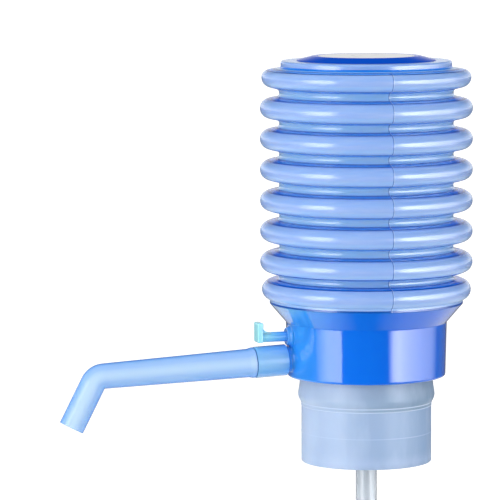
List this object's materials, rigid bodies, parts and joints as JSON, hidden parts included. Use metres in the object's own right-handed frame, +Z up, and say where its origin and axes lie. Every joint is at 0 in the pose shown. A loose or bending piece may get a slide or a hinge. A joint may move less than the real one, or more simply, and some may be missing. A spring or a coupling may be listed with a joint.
{
  "type": "manual bellows pump for a water bottle",
  "caption": "Hand bellows pump that clips over a large water bottle's neck, with a bent swivelling spout, an air-release button and a sectioned dip tube.",
  "frame": {"origin": "centre of the bottle's rim plane, where the gasket's underside seats, on the neck's axis", "axes": "+Z up along the neck's axis, away from the bottle; -X towards the spout; +Y to complete a right-handed set"},
  "size_m": [0.191, 0.0964, 0.4754],
  "materials": {
    "frosted_collar": "frosted, milky, part translucent polyethylene",
    "blue_base": "glossy, slightly translucent blue plastic",
    "rubber": "pale food-grade silicone rubber",
    "soft_bellows": "soft, glossy, milky blue blow-moulded plastic",
    "frosted_inner": "natural frosted plastic",
    "clear_tube": "clear to milky plastic tube",
    "cap_blue": "glossy dark blue plastic",
    "pale_disc": "blank white disc with a satin gloss",
    "cyan_button": "glossy, translucent pale cyan plastic",
    "steel": "stainless steel",
    "pale_spout": "glossy, translucent pale blue plastic"
  },
  "bodies": {
    "collar": {"neck_collar": "frosted_collar"},
    "head": {"pump_body": "blue_base", "neck_gasket": "rubber", "outlet_valve": "rubber", "bellows": "soft_bellows", "bellows_ring": "frosted_inner", "ring_screws": "steel", "tube_seal": "rubber", "suction_tube_upper": "clear_tube", "tube_coupler_upper": "frosted_inner", "suction_tube_middle": "clear_tube", "tube_coupler_lower": "frosted_inner", "suction_tube_lower": "clear_tube", "tube_foot": "frosted_inner", "release_spring": "steel"},
    "crown": {"press_cap": "cap_blue", "cap_disc": "pale_disc", "intake_valve": "rubber"},
    "release": {"release_button": "cyan_button", "release_seal": "rubber", "release_clip": "steel"},
    "spout": {"spout": "pale_spout", "spout_oring": "rubber"}
  },
  "joints": [
    {"name": "head_turn", "type": "hinge", "parent": "collar", "child": "head", "pos_m": [0, 0, 0], "axis": [0, 0, 1], "continuous": true},
    {"name": "bellows_press", "type": "slide", "parent": "head", "child": "crown", "axis": [0, 0, -1], "range_m": [0, 0.05], "stiffness_N_per_m": 400, "springref_m": -0.0025, "deforming": ["bellows"]},
    {"name": "release_push", "type": "slide", "parent": "head", "child": "release", "axis": [1, 0, 0], "range_m": [0, 0.003], "stiffness_N_per_m": 300, "springref_m": -0.004, "deforming": ["release_spring"]},
    {"name": "spout_turn", "type": "hinge", "parent": "head", "child": "spout", "pos_m": [0, 0, 0.0089], "axis": [-0.9989, 0, -0.0471], "continuous": true}
  ]
}
